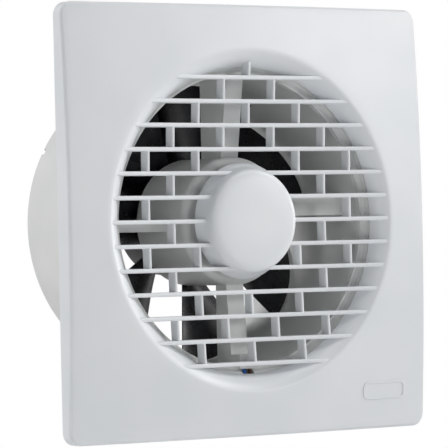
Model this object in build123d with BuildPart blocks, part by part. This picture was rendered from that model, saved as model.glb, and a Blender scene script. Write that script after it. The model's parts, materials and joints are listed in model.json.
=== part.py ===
from build123d import *
import math
import os

# Through-the-wall bathroom extractor fan for a 150 mm duct.
# Millimetres. The origin is on the fan axis in the plane that touches the wall.
# -Y is the room side, +Y goes into the wall, +Z is up.

os.makedirs("parts", exist_ok=True)

# Front plate
plate_width = 210.0
plate_corner_radius = 6.5
plate_wall = 2.4
plate_gap = 0.6              # rear rim of the cover stays this far off the wall
face_centre_depth = 15.5     # how proud the domed face would be on the axis
face_radius = 1319.0         # sphere that the domed face lies on
face_edge_chamfer = 1.1
badge_relief = 0.4
leg_offset = 99.1            # friction legs of the cover, inside the frame rim

# Grille
lip_radius = 84.0            # where the flared lip leaves the face
throat_radius = 75.0         # where the flare meets the duct
throat_depth = 5.8
lip_wall = 2.0
bar_pitch = 11.62
bar_height = 2.1
bar_count = 13
rib_half_pitch = 14.88
rib_width = 1.5
grille_depth = 6.0
dish_depth = 8.4             # front of the grille on the axis
dish_radius = 863.0          # sphere that the dished bars follow
boss_root = 25.3             # the bars start inside the wall of the boss

# Rear frame and duct
frame_width = 203.4
frame_wall = 2.0
frame_rim_top = 4.6
spigot_outer_radius = 74.0
spigot_inner_radius = 71.5
spigot_length = 79.4
collar_outer_radius = 76.6
collar_top = 5.3
screw_offset = 88.0
screw_hole_radius = 2.6
cable_hole_x = -58.0
cable_hole_z = -88.0
cable_hole_radius = 5.5

# Motor cup and its arms
cup_outer_radius = 31.5
cup_wall = 2.0
cup_front = 2.6
cup_rear = 44.4
arm_half_width = 5.0
cover_front = 42.2           # rear cover of the cup
cover_wall = 2.0
cover_posts = [(0.0, 26.8), (26.8, 0.0), (-26.8, 0.0)]

# Motor
stack_front = 14.0
stack_rear = 30.0
rotor_radius = 8.5
air_gap = 0.35
shaft_radius = 1.5
shaft_front = 7.0
shaft_rear = 66.0
bearing_clearance = 0.03
bearing_outer_radius = 4.0
tie_screw_x = 14.6
tie_screw_radius = 1.4
tie_screw_front = 6.0
bracket_wall = 1.2
bearing_length = 4.6
tie_screw_gap = 0.2
coil_leg_centre = -18.6
coil_leg_height = 6.0
coil_leg_half_width = 12.0

# Impeller
blade_count = 7
blade_first_angle = -45.2    # leading edge of the first blade, from +X towards +Z
blade_span_angle = 46.0
blade_thickness = 1.5
tip_radius = 69.6
hub_radius = 26.0
hub_wall = 2.0
hub_front = 46.6
hub_rear = 70.4
sleeve_radius = 5.0
sleeve_rear = 62.0
blade_root_front = 47.6      # leading edge at the hub
blade_front_slope = 0.147    # how fast it comes forward towards the tip
blade_rear = 70.0

# Terminal compartment
terminal_x = -20.0
terminal_z = -90.0
terminal_width = 22.0
terminal_height = 12.0
terminal_depth = 5.0
pole_offset = 5.5
pole_screw_offset = 3.0
lid_rear = 7.2
lid_wall = 1.0
lid_screw_x = -38.0
clamp_x = -45.6
clamp_rear = 4.4
clamp_screw_offset = 6.0
grommet_bore_radius = 3.2
lead_radius = 0.9
lead_x = 1.8
lead_y = 9.75
lead_bend = 2.4


def face_depth(radius):
    """Distance from the wall to the domed face at this distance from the axis."""
    return face_centre_depth - face_radius + math.sqrt(face_radius ** 2 - radius ** 2)


def dish_front(radius):
    """Distance from the wall to the front of the dished grille."""
    return dish_depth + dish_radius - math.sqrt(dish_radius ** 2 - radius ** 2)


def bar_height_at(index):
    """Height of a bar's centre line: bar 0 is the top one."""
    return ((bar_count - 1) / 2 - index) * bar_pitch


# Rib positions in half pitches for the gap above each bar, brick fashion.
rib_pattern = [
    (0,),
    (-1, 1),
    (-2, 0, 2),
    (-3, -1, 1, 3),
    (-4, -2, 2, 4),
    (-3, 3),
    (-4, 4),
    (-3, 3),
    (-4, -2, 2, 4),
    (-3, 3),
    (-2, 0, 2),
    (-3, -1, 1, 3),
    (-2, 0, 2),
]

# ---------------------------------------------------------------- front cover

# The layer of space that the grille's bars and ribs fill.
with BuildPart() as grille_layer:
    with BuildSketch(Plane.XY):
        with BuildLine():
            rim_radius = 81.0
            rim_front = dish_front(rim_radius)
            rear_radius = throat_radius - 0.4
            Polyline(
                (boss_root, -dish_front(boss_root) + grille_depth),
                (boss_root, -dish_front(boss_root)),
            )
            ThreePointArc(
                (boss_root, -dish_front(boss_root)),
                (52.0, -dish_front(52.0)),
                (rim_radius, -rim_front),
            )
            Polyline(
                (rim_radius, -rim_front),
                (rim_radius + 1.6, -rim_front + 0.5),
                (throat_radius + 1.0, -throat_depth - 0.6),
                (throat_radius + 0.6, -throat_depth - 0.1),
                (rear_radius, -throat_depth),
                (rear_radius, -dish_front(rear_radius) + grille_depth),
            )
            ThreePointArc(
                (rear_radius, -dish_front(rear_radius) + grille_depth),
                (50.0, -dish_front(50.0) + grille_depth),
                (boss_root, -dish_front(boss_root) + grille_depth),
            )
        make_face()
    revolve(axis=Axis.Y)

with BuildPart() as grille:
    with BuildSketch(Plane.XZ):
        for index in range(bar_count):
            with Locations((0, bar_height_at(index))):
                Rectangle(170, bar_height)
        for index, columns in enumerate(rib_pattern):
            for column in columns:
                with Locations((column * rib_half_pitch, bar_height_at(index - 0.5))):
                    Rectangle(rib_width, bar_pitch)
    extrude(amount=16)
    add(grille_layer.part, mode=Mode.INTERSECT)

# Boss: a shallow dome with a skirt that the bars run into.
with BuildPart() as boss:
    with BuildSketch(Plane.XY):
        with BuildLine():
            Line((0, -14.4), (10.0, -14.4))
            Spline(
                (10.0, -14.4),
                (20.0, -13.95),
                (23.2, -13.3),
                (24.7, -12.3),
                (25.4, -10.8),
                (25.8, -8.8),
                (26.6, -6.4),
                (27.8, -4.2),
                (28.7, -2.6),
                tangents=((1, 0), (0.45, 1)),
            )
            Polyline(
                (28.7, -2.6),
                (25.0, -2.6),
                (24.4, -5.4),
                (23.7, -8.4),
                (22.6, -10.6),
                (20.4, -11.8),
                (12.0, -12.25),
                (0, -12.4),
                (0, -14.4),
            )
        make_face()
    revolve(axis=Axis.Y)

with BuildPart() as face_sphere:
    with Locations((0, face_radius - face_centre_depth, 0)):
        Sphere(face_radius)

with BuildPart() as inner_sphere:
    with Locations((0, face_radius - face_centre_depth, 0)):
        Sphere(face_radius - plate_wall)

with BuildPart() as badge_sphere:
    with Locations((0, face_radius - face_centre_depth, 0)):
        Sphere(face_radius + badge_relief)

# Blank raised badge outline in the lower corner.
with BuildPart() as badge:
    with BuildSketch(Plane.XZ.offset(8.5)):
        with Locations((78, -86)):
            RectangleRounded(27, 9, 3)
            RectangleRounded(24.6, 6.6, 1.8, mode=Mode.SUBTRACT)
    extrude(amount=12)
    add(badge_sphere.part, mode=Mode.INTERSECT)

with BuildPart() as cover_hollow:
    with BuildSketch(Plane.XZ):
        inner_width = plate_width - 2 * plate_wall
        RectangleRounded(inner_width, inner_width, plate_corner_radius - plate_wall)
    extrude(amount=30)
    add(inner_sphere.part, mode=Mode.INTERSECT)

with BuildPart() as front_cover:
    with BuildSketch(Plane.XZ.offset(plate_gap)):
        RectangleRounded(plate_width, plate_width, plate_corner_radius)
    extrude(amount=30)
    add(face_sphere.part, mode=Mode.INTERSECT)
    front_edges = front_cover.faces().sort_by(Axis.Y)[0].edges()
    chamfer(front_edges, length=face_edge_chamfer)
    add(cover_hollow.part, mode=Mode.SUBTRACT)
    # Flared lip: a ring with a soft curve from the face down to the duct.
    with BuildSketch(Plane.XY):
        Polygon((0, -30), (lip_radius - 1.0, -30), (lip_radius - 1.0, 5), (0, 5), align=None)
    revolve(axis=Axis.Y, mode=Mode.SUBTRACT)
    with BuildSketch(Plane.XY):
        with BuildLine():
            Spline(
                (lip_radius, -face_depth(lip_radius)),
                (81.8, -12.3),
                (79.8, -11.2),
                (77.9, -9.7),
                (76.2, -7.7),
                (throat_radius, -throat_depth),
                tangents=((-1.0, -0.03), (-0.50, 0.86)),
            )
            Polyline(
                (throat_radius, -throat_depth),
                (throat_radius + 1.6, -throat_depth + 0.1),
                (78.0, -7.5),
                (79.8, -9.2),
                (82.2, -10.4),
                (lip_radius, -face_depth(lip_radius) + lip_wall + 0.2),
                (lip_radius, -face_depth(lip_radius)),
            )
        make_face()
    revolve(axis=Axis.Y)
    add(grille.part)
    add(boss.part)
    # Friction legs that slide inside the rim of the rear frame, one to a side.
    for turn in range(4):
        with Locations(Location((0, 0, 0), (0, 90 * turn, 0))):
            with Locations((0, -6.5, leg_offset)):
                Box(16, 7.4, 1.6)
    add(badge.part)
front_cover.part.label = "front_cover"
export_step(front_cover.part, "parts/front_cover.step")

# ----------------------------------------------------------------- rear frame


def radial_plane(turn):
    """Plane through the axis: local x is +Y and local y points outward, turned from +Z towards +X."""
    angle = math.radians(turn)
    return Plane(origin=(0, 0, 0), x_dir=(0, 1, 0), z_dir=(math.cos(angle), 0, -math.sin(angle)))


# Each arm: turn from +Z towards +X, half width, offset across, front at the cup,
# front at the duct, rear.
arms = [
    (0, 5.0, 0.0, 8.0, 1.5, 25.0),
    (180, 5.0, 0.0, 6.0, 2.3, 15.0),
    (90, 4.4, -6.6, 8.0, 6.0, 18.0),
    (270, 1.9, -2.6, 12.0, 12.0, 24.0),
]
arm_wall = 1.5
arm_root = cup_outer_radius - 1.0
arm_tip = spigot_inner_radius + 0.6

with BuildPart() as rear_frame:
    # Back plate and its low rim.
    with BuildSketch(Plane.XZ):
        RectangleRounded(frame_width, frame_width, 5)
    extrude(amount=frame_wall)
    with BuildSketch(Plane.XZ.offset(frame_wall)):
        RectangleRounded(frame_width, frame_width, 5)
        RectangleRounded(frame_width - 3.2, frame_width - 3.2, 3.6, mode=Mode.SUBTRACT)
    extrude(amount=frame_rim_top - frame_wall)
    # Screw pads in the corners and stiffening ribs.
    with BuildSketch(Plane.XZ.offset(frame_wall)):
        with GridLocations(2 * screw_offset, 2 * screw_offset, 2, 2):
            Circle(6.0)
    extrude(amount=1.6)
    with BuildSketch(Plane.XZ.offset(frame_wall)):
        with PolarLocations(96.5, 4, start_angle=45):
            Rectangle(43, 1.6)
        with PolarLocations(85.5, 2):
            Rectangle(21, 1.6)
    extrude(amount=2.4)
    # Clear the duct, then add the collar behind the flared lip and the spigot.
    with BuildSketch(Plane.XZ.offset(30)):
        Circle(spigot_inner_radius + 0.2)
    extrude(amount=-120, mode=Mode.SUBTRACT)
    collar_inner = throat_radius - 0.2
    with BuildSketch(Plane.XY):
        with BuildLine():
            Polyline(
                (spigot_inner_radius, spigot_length),
                (spigot_inner_radius, -0.4),
                (collar_inner - 0.9, -3.6),
                (collar_inner - 0.4, -3.7),
                (collar_inner - 0.6, -4.1),
                (collar_inner - 0.2, -4.2),
                (collar_inner - 0.4, -4.6),
                (collar_inner, -4.7),
                (collar_inner, -collar_top),
                (collar_outer_radius, -collar_top),
                (collar_outer_radius, 0.0),
                (spigot_outer_radius, 0.0),
                (spigot_outer_radius, spigot_length - 0.8),
                (spigot_outer_radius - 0.8, spigot_length),
                (spigot_inner_radius, spigot_length),
            )
        make_face()
    revolve(axis=Axis.Y)
    # Cup for the motor, closed towards the room.
    with BuildSketch(Plane.XY):
        with BuildLine():
            cup_corner = 4.0
            cup_inner_radius = cup_outer_radius - cup_wall
            Polyline(
                (0, cup_front),
                (cup_outer_radius - cup_corner, cup_front),
            )
            RadiusArc(
                (cup_outer_radius - cup_corner, cup_front),
                (cup_outer_radius, cup_front + cup_corner),
                -cup_corner,
            )
            Polyline(
                (cup_outer_radius, cup_front + cup_corner),
                (cup_outer_radius, cup_rear),
                (cup_inner_radius, cup_rear),
                (cup_inner_radius, cup_front + cup_wall),
                (0, cup_front + cup_wall),
                (0, cup_front),
            )
        make_face()
    revolve(axis=Axis.Y)
    # Posts in the cup: three for its cover and two for the motor.
    with BuildSketch(Plane.XZ.offset(-cup_front - 1)):
        for x, z in cover_posts:
            with Locations((x, z)):
                Circle(2.8)
    extrude(amount=cup_front + 1 - cover_front)
    with BuildSketch(Plane.XZ.offset(-cup_front - 1)):
        with GridLocations(2 * tie_screw_x, 0, 2, 1):
            Circle(2.5)
    extrude(amount=cup_front + 1 - (stack_front - bracket_wall))
    # Four arms from the cup to the duct.
    for turn, half_width, offset, front_root, front_tip, rear in arms:
        with BuildSketch(radial_plane(turn).offset(offset)):
            Polygon(
                (front_root, arm_root),
                (front_tip, arm_tip),
                (rear, arm_tip),
                (rear, arm_root),
                align=None,
            )
        extrude(amount=half_width, both=True)
    # The two tall arms are channels, open towards the wall.
    for turn, half_width, offset, front_root, front_tip, rear in arms[:2]:
        with BuildSketch(radial_plane(turn).offset(offset)):
            Polygon(
                (front_root + arm_wall, arm_root + 2.6),
                (front_tip + arm_wall, arm_tip - 1.8),
                (rear + 1, arm_tip - 1.8),
                (rear + 1, arm_root + 2.6),
                align=None,
            )
        extrude(amount=half_width - arm_wall, both=True, mode=Mode.SUBTRACT)
    # Chute that brings the leads forward to the terminals.
    with Locations((0, 1.0, -68.8)):
        Box(10.0, 10.6, 7.0)
    with Locations((0, 5.2, -68.9)):
        Box(6.8, 17.2, 4.2, mode=Mode.SUBTRACT)
    with Locations(Location((0, -3.0, -73.4), (-17, 0, 0))):
        Box(6.8, 3.0, 8.0, mode=Mode.SUBTRACT)
    with Locations((0, 10.5, -arm_root - 0.6)):
        Box(6.8, 5.8, 7.0, mode=Mode.SUBTRACT)
    # Terminal compartment.
    with BuildSketch(Plane.XZ.offset(frame_wall)):
        with Locations((terminal_x, terminal_z + 0.4)):
            Rectangle(26.8, 16.4)
            Rectangle(24.4, 14.0, mode=Mode.SUBTRACT)
        with Locations((lid_screw_x, terminal_z)):
            Circle(2.4)
    extrude(amount=lid_rear - frame_wall)
    for x in (terminal_x - pole_offset, terminal_x + pole_offset):
        with Locations((x, -5.0, -82.0)):
            Box(2.4, 5.2, 2.4, mode=Mode.SUBTRACT)
    with Locations((-32.8, -5.0, cable_hole_z)):
        Box(2.4, 5.2, 7.0, mode=Mode.SUBTRACT)
    # Cable clamp pillars.
    with BuildSketch(Plane.XZ.offset(frame_wall)):
        with Locations((clamp_x, cable_hole_z)):
            with GridLocations(0, 2 * clamp_screw_offset, 1, 2):
                Circle(2.4)
    extrude(amount=clamp_rear - frame_wall)
    # Holes: wall screws, cable entry, pilot holes and the locating notch.
    with BuildSketch(Plane.XZ.offset(10)):
        with GridLocations(2 * screw_offset, 2 * screw_offset, 2, 2):
            Circle(screw_hole_radius)
        with Locations((cable_hole_x, cable_hole_z)):
            Circle(cable_hole_radius)
    extrude(amount=-11, mode=Mode.SUBTRACT)
    with BuildSketch(Plane.XZ.offset(10)):
        with Locations((clamp_x, cable_hole_z)):
            with GridLocations(0, 2 * clamp_screw_offset, 1, 2):
                Circle(1.0)
        with Locations((lid_screw_x, terminal_z)):
            Circle(1.0)
    extrude(amount=-8.8, mode=Mode.SUBTRACT)
    with BuildSketch(Plane.XZ.offset(-cover_front)):
        for x, z in cover_posts:
            with Locations((x, z)):
                Circle(1.2)
    extrude(amount=10, mode=Mode.SUBTRACT)
    with BuildSketch(Plane.XZ.offset(-20)):
        with GridLocations(2 * tie_screw_x, 0, 2, 1):
            Circle(tie_screw_radius)
    extrude(amount=20 - tie_screw_front, mode=Mode.SUBTRACT)
    notch_angle = math.radians(150)
    with Locations(Location((73 * math.cos(notch_angle), spigot_length, 73 * math.sin(notch_angle)),
                            (0, -150, 0))):
        Box(8, 6, 3, mode=Mode.SUBTRACT)
rear_frame.part.label = "rear_frame"
export_step(rear_frame.part, "parts/rear_frame.step")

# Flat strip that shuts the leads into the lower arm.
with BuildPart() as lead_channel_cover:
    with Locations((0, 14.3, -51.6)):
        Box(2 * (arm_half_width - arm_wall) - 0.1, 1.2, 30.0)
lead_channel_cover.part.label = "lead_channel_cover"
export_step(lead_channel_cover.part, "parts/lead_channel_cover.step")

# ---------------------------------------------------------------------- motor

stack_half_width = 18.0
stack_top = 15.0
leg_bottom = coil_leg_centre - coil_leg_height / 2
leg_top = coil_leg_centre + coil_leg_height / 2
pole_bottom = -11.6
shade_points = [((-12.6, 5.6), (-7.8, 10.4)), ((12.6, -5.6), (8.6, -9.6))]
shade_size = 1.2

with BuildPart() as stator_core:
    with BuildSketch(Plane.XZ.offset(-stack_front)):
        with Locations((0, (stack_top + leg_bottom) / 2)):
            RectangleRounded(2 * stack_half_width, stack_top - leg_bottom, 1.5)
        with Locations((0, (pole_bottom + leg_top) / 2)):
            Rectangle(2 * coil_leg_half_width, leg_top - pole_bottom, mode=Mode.SUBTRACT)
        Circle(rotor_radius + air_gap, mode=Mode.SUBTRACT)
        with Locations((0, 12)):
            Rectangle(1.2, 10, mode=Mode.SUBTRACT)
        with Locations((0, -10)):
            Rectangle(1.2, 6, mode=Mode.SUBTRACT)
        with GridLocations(2 * tie_screw_x, 0, 2, 1):
            Circle(tie_screw_radius + tie_screw_gap, mode=Mode.SUBTRACT)
        for pair in shade_points:
            for x, z in pair:
                with Locations(Location((x, z, 0), (0, 0, 45))):
                    Rectangle(shade_size + 0.1, shade_size + 0.1, mode=Mode.SUBTRACT)
    extrude(amount=-(stack_rear - stack_front))
stator_core.part.label = "stator_core"
export_step(stator_core.part, "parts/stator_core.step")

with BuildPart() as shading_rings:
    for (x1, z1), (x2, z2) in shade_points:
        span = math.hypot(x2 - x1, z2 - z1)
        angle = math.degrees(math.atan2(z2 - z1, x2 - x1))
        middle = ((x1 + x2) / 2, (stack_front + stack_rear) / 2, (z1 + z2) / 2)
        depth = stack_rear - stack_front
        with Locations(Location(middle, (0, -angle, 0))):
            Box(span + shade_size, depth + 2 * shade_size, shade_size)
            Box(span - shade_size, depth, shade_size, mode=Mode.SUBTRACT)
shading_rings.part.label = "shading_rings"
export_step(shading_rings.part, "parts/shading_rings.step")

stack_middle = (stack_front + stack_rear) / 2
bobbin_wall = 0.8
coil_thickness = 2.8
core_length = stack_rear - stack_front

with BuildPart() as coil_bobbin:
    with BuildSketch(Plane.YZ):
        with Locations((stack_middle, coil_leg_centre)):
            Rectangle(core_length + 2 * bobbin_wall, coil_leg_height + 2 * bobbin_wall)
    extrude(amount=coil_leg_half_width - 0.2, both=True)
    for side in (-1, 1):
        with BuildSketch(Plane.YZ.offset(side * (coil_leg_half_width - 0.2))):
            with Locations((stack_middle, coil_leg_centre)):
                Rectangle(
                    core_length + 2 * (bobbin_wall + coil_thickness),
                    coil_leg_height + 2 * (bobbin_wall + coil_thickness),
                )
        extrude(amount=-side * 1.0)
    with BuildSketch(Plane.YZ):
        with Locations((stack_middle, coil_leg_centre)):
            Rectangle(core_length, coil_leg_height)
    extrude(amount=coil_leg_half_width + 1, both=True, mode=Mode.SUBTRACT)
coil_bobbin.part.label = "coil_bobbin"
export_step(coil_bobbin.part, "parts/coil_bobbin.step")

with BuildPart() as coil_winding:
    with BuildSketch(Plane.YZ):
        with Locations((stack_middle, coil_leg_centre)):
            RectangleRounded(
                core_length + 2 * (bobbin_wall + coil_thickness) - 0.6,
                coil_leg_height + 2 * (bobbin_wall + coil_thickness) - 0.6,
                2.0,
            )
            Rectangle(
                core_length + 2 * bobbin_wall,
                coil_leg_height + 2 * bobbin_wall,
                mode=Mode.SUBTRACT,
            )
    extrude(amount=coil_leg_half_width - 1.2, both=True)
coil_winding.part.label = "coil_winding"
export_step(coil_winding.part, "parts/coil_winding.step")

with BuildPart() as thermal_fuse:
    fuse_y = stack_front - bobbin_wall - coil_thickness + 0.3 - 1.2
    with Locations(Location((0, fuse_y, -17.6), (0, 90, 0))):
        Cylinder(1.2, 9.0)
thermal_fuse.part.label = "thermal_fuse"
export_step(thermal_fuse.part, "parts/thermal_fuse.step")


def bracket_outline(foot, reach):
    """Bridge outline as (X, Y) points: feet on the stack face at foot, crown at foot + reach."""
    wall = math.copysign(bracket_wall, reach)
    return [
        (-18.0, foot),
        (-18.0, foot + wall),
        (-12.0, foot + wall),
        (-8.0, foot + reach),
        (8.0, foot + reach),
        (12.0, foot + wall),
        (18.0, foot + wall),
        (18.0, foot),
        (11.3, foot),
        (7.3, foot + reach - wall),
        (-7.3, foot + reach - wall),
        (-11.3, foot),
    ]


def bearing_bracket(foot, reach):
    """Bearing bridge standing on the stack face at foot, with its cup on the axis."""
    crown = foot + reach
    inward = math.copysign(1, reach)
    with BuildPart() as bracket:
        with BuildSketch(Plane.XY):
            Polygon(*bracket_outline(foot, reach), align=None)
        extrude(amount=4.5, both=True)
        with BuildSketch(Plane.XZ.offset(-crown)):
            Circle(5.4)
        extrude(amount=inward * bearing_length)
        with BuildSketch(Plane.XZ.offset(-(crown - inward * 0.6))):
            Circle(bearing_outer_radius)
        extrude(amount=inward * 12, mode=Mode.SUBTRACT)
        with BuildSketch(Plane.XZ.offset(-crown - 2)):
            Circle(2.2)
        extrude(amount=4, mode=Mode.SUBTRACT)
        with BuildSketch(Plane.XZ.offset(-foot - 4)):
            with GridLocations(2 * tie_screw_x, 0, 2, 1):
                Circle(tie_screw_radius + tie_screw_gap)
        extrude(amount=8, mode=Mode.SUBTRACT)
    return bracket


front_bearing_bracket = bearing_bracket(stack_front, -5.4)
front_bearing_bracket.part.label = "front_bearing_bracket"
export_step(front_bearing_bracket.part, "parts/front_bearing_bracket.step")

rear_bearing_bracket = bearing_bracket(stack_rear, 5.4)
rear_bearing_bracket.part.label = "rear_bearing_bracket"
export_step(rear_bearing_bracket.part, "parts/rear_bearing_bracket.step")


def sleeve_bearing(start):
    """Sintered sleeve on the shaft, running rearwards from start."""
    with BuildPart() as bearing:
        with BuildSketch(Plane.XZ.offset(-start)):
            Circle(bearing_outer_radius)
            Circle(shaft_radius + bearing_clearance, mode=Mode.SUBTRACT)
        extrude(amount=-(bearing_length - 0.6))
        chamfer(bearing.edges().filter_by(GeomType.CIRCLE).group_by(SortBy.RADIUS)[-1], 0.3)
    return bearing


front_bearing = sleeve_bearing(stack_front - 5.4 + 0.6)
front_bearing.part.label = "front_bearing"
export_step(front_bearing.part, "parts/front_bearing.step")

rear_bearing = sleeve_bearing(stack_rear + 5.4 - bearing_length)
rear_bearing.part.label = "rear_bearing"
export_step(rear_bearing.part, "parts/rear_bearing.step")

with BuildPart() as motor_screws:
    with BuildSketch(Plane.XZ.offset(-tie_screw_front)):
        with GridLocations(2 * tie_screw_x, 0, 2, 1):
            Circle(tie_screw_radius)
    extrude(amount=-(stack_rear + bracket_wall - tie_screw_front))
    with BuildSketch(Plane.XZ.offset(-(stack_rear + bracket_wall))):
        with GridLocations(2 * tie_screw_x, 0, 2, 1):
            Circle(2.6)
    extrude(amount=-1.8)
    with BuildSketch(Plane.XZ.offset(-(stack_rear + bracket_wall + 1.8))):
        with GridLocations(2 * tie_screw_x, 0, 2, 1):
            Rectangle(4.0, 0.7)
            Rectangle(0.7, 4.0)
    extrude(amount=0.8, mode=Mode.SUBTRACT)
motor_screws.part.label = "motor_screws"
export_step(motor_screws.part, "parts/motor_screws.step")

with BuildPart() as motor_cover:
    with BuildSketch(Plane.XZ.offset(-cover_front)):
        Circle(cup_outer_radius - cup_wall - 0.1)
    extrude(amount=-cover_wall)
    with BuildSketch(Plane.XZ.offset(-cover_front - 3)):
        Circle(2.4)
        for x, z in cover_posts:
            with Locations((x, z)):
                Circle(1.5)
    extrude(amount=6, mode=Mode.SUBTRACT)
    # Ring of cooling slots.
    with BuildSketch(Plane.XZ.offset(-cover_front - 3)):
        with PolarLocations(14, 12, start_angle=15):
            SlotOverall(9, 2.2)
    extrude(amount=6, mode=Mode.SUBTRACT)
motor_cover.part.label = "motor_cover"
export_step(motor_cover.part, "parts/motor_cover.step")

with BuildPart() as motor_cover_screws:
    for x, z in cover_posts:
        with BuildSketch(Plane.XZ.offset(-(cover_front - 8))):
            with Locations((x, z)):
                Circle(1.2)
        extrude(amount=-(8 + cover_wall))
        with BuildSketch(Plane.XZ.offset(-(cover_front + cover_wall))):
            with Locations((x, z)):
                Circle(2.3)
        extrude(amount=-1.3)
        with BuildSketch(Plane.XZ.offset(-(cover_front + cover_wall + 1.3))):
            with Locations((x, z)):
                Rectangle(3.4, 0.6)
                Rectangle(0.6, 3.4)
        extrude(amount=0.7, mode=Mode.SUBTRACT)
motor_cover_screws.part.label = "motor_cover_screws"
export_step(motor_cover_screws.part, "parts/motor_cover_screws.step")

# ------------------------------------------------------------ turning parts

with BuildPart() as motor_shaft:
    with BuildSketch(Plane.XZ.offset(-shaft_front)):
        Circle(shaft_radius)
    extrude(amount=-(shaft_rear - shaft_front))
    chamfer(motor_shaft.edges().filter_by(GeomType.CIRCLE), 0.25)
motor_shaft.part.label = "motor_shaft"
export_step(motor_shaft.part, "parts/motor_shaft.step")

with BuildPart() as rotor_core:
    with BuildSketch(Plane.XZ.offset(-stack_front)):
        Circle(rotor_radius)
        Circle(shaft_radius, mode=Mode.SUBTRACT)
        with PolarLocations(rotor_radius - 1.1, 17):
            Circle(0.55, mode=Mode.SUBTRACT)
    extrude(amount=-(stack_rear - stack_front))
rotor_core.part.label = "rotor_core"
export_step(rotor_core.part, "parts/rotor_core.step")

with BuildPart() as rotor_cage:
    with BuildSketch(Plane.XZ.offset(-stack_front)):
        with PolarLocations(rotor_radius - 1.1, 17):
            Circle(0.55)
    extrude(amount=-(stack_rear - stack_front))
    for start, amount in ((stack_front, 0.6), (stack_rear, -0.6)):
        with BuildSketch(Plane.XZ.offset(-start)):
            Circle(rotor_radius - 0.3)
            Circle(rotor_radius - 2.4, mode=Mode.SUBTRACT)
        extrude(amount=amount)
rotor_cage.part.label = "rotor_cage"
export_step(rotor_cage.part, "parts/rotor_cage.step")

# How far the blade's middle line has gone back after each quarter of its chord.
camber_steps = ((0.0, 0.0), (0.25, 0.1), (0.5, 0.3), (0.75, 0.6), (1.0, 1.0))
blade_tangent = math.tan(math.radians(blade_span_angle / 2))


def blade_section(height):
    """Front and rear outline points of the blade in the plane at this height."""
    front_edge = blade_root_front - (height - 24.0) * blade_front_slope
    front_line = []
    rear_line = []
    for step, back in camber_steps:
        x = height * blade_tangent * (1 - 2 * step)
        y = front_edge + back * (blade_rear - front_edge)
        half = blade_thickness * (0.3 + 0.8 * step * (1 - step))
        front_line.append((x, y - half))
        rear_line.append((x, y + half))
    return front_line, rear_line


with BuildPart() as blade:
    for height in (24.0, 40.0, 56.0, 72.0):
        front_line, rear_line = blade_section(height)
        with BuildSketch(Plane.XY.offset(height)):
            with BuildLine():
                Spline(*front_line)
                Line(front_line[-1], rear_line[-1])
                Spline(*rear_line)
                Line(front_line[0], rear_line[0])
            make_face()
    loft()
    with BuildSketch(Plane.XZ):
        Circle(tip_radius)
        Circle(hub_radius - 1.0, mode=Mode.SUBTRACT)
    extrude(amount=-90, mode=Mode.INTERSECT)

with BuildPart() as impeller:
    with BuildSketch(Plane.XY):
        with BuildLine():
            Polyline(
                (shaft_radius, hub_front + 0.4),
                (sleeve_radius, hub_front + 0.4),
                (hub_radius - 2.0, hub_front),
                (hub_radius, hub_front + 1.6),
                (hub_radius, hub_rear),
                (hub_radius - hub_wall, hub_rear),
                (hub_radius - hub_wall, hub_front + 2.2),
                (sleeve_radius, hub_front + 2.4),
                (sleeve_radius, sleeve_rear),
                (shaft_radius, sleeve_rear),
                (shaft_radius, hub_front + 0.4),
            )
        make_face()
    revolve(axis=Axis.Y)
    # Webs between the sleeve and the hub wall.
    with BuildSketch(Plane.XZ.offset(-hub_front - 1.5)):
        with PolarLocations((sleeve_radius + hub_radius) / 2 - 0.5, blade_count, start_angle=10):
            Rectangle(hub_radius - sleeve_radius, 1.4)
    extrude(amount=-9)
    for number in range(blade_count):
        turn = blade_first_angle + number * 360 / blade_count
        add(blade.part, rotation=(0, 90 - blade_span_angle / 2 - turn, 0))
impeller.part.label = "impeller"
export_step(impeller.part, "parts/impeller.step")

with BuildPart() as impeller_clip:
    with BuildSketch(Plane.XZ.offset(-sleeve_rear)):
        Circle(4.6)
        Circle(shaft_radius, mode=Mode.SUBTRACT)
        with PolarLocations(2.6, 4):
            Rectangle(1.6, 0.7, mode=Mode.SUBTRACT)
    extrude(amount=-0.6)
impeller_clip.part.label = "impeller_clip"
export_step(impeller_clip.part, "parts/impeller_clip.step")

# ------------------------------------------------------------------ terminals

with BuildPart() as terminal_block:
    with BuildSketch(Plane.XZ.offset(frame_wall)):
        with Locations((terminal_x, terminal_z)):
            RectangleRounded(terminal_width, terminal_height, 0.8)
    extrude(amount=terminal_depth)
    for x in (terminal_x - pole_offset, terminal_x + pole_offset):
        with Locations((x, -4.6, terminal_z)):
            Box(5.4, 3.2, terminal_height + 2, mode=Mode.SUBTRACT)
        for z in (terminal_z - pole_screw_offset, terminal_z + pole_screw_offset):
            with BuildSketch(Plane.XZ.offset(frame_wall + 2)):
                with Locations((x, z)):
                    Circle(1.7)
            extrude(amount=6, mode=Mode.SUBTRACT)
    with Locations((terminal_x, -6.4, terminal_z)):
        Box(0.8, 2.0, terminal_height, mode=Mode.SUBTRACT)
terminal_block.part.label = "terminal_block"
export_step(terminal_block.part, "parts/terminal_block.step")

with BuildPart() as terminal_clamps:
    for x in (terminal_x - pole_offset, terminal_x + pole_offset):
        with Locations((x, -4.6, terminal_z)):
            Box(5.2, 3.0, 9.6)
            Box(2.2, 2.2, 12, mode=Mode.SUBTRACT)
        for z in (terminal_z - pole_screw_offset, terminal_z + pole_screw_offset):
            with BuildSketch(Plane.XZ.offset(4.0)):
                with Locations((x, z)):
                    Circle(1.1)
            extrude(amount=4, mode=Mode.SUBTRACT)
terminal_clamps.part.label = "terminal_clamps"
export_step(terminal_clamps.part, "parts/terminal_clamps.step")

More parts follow.
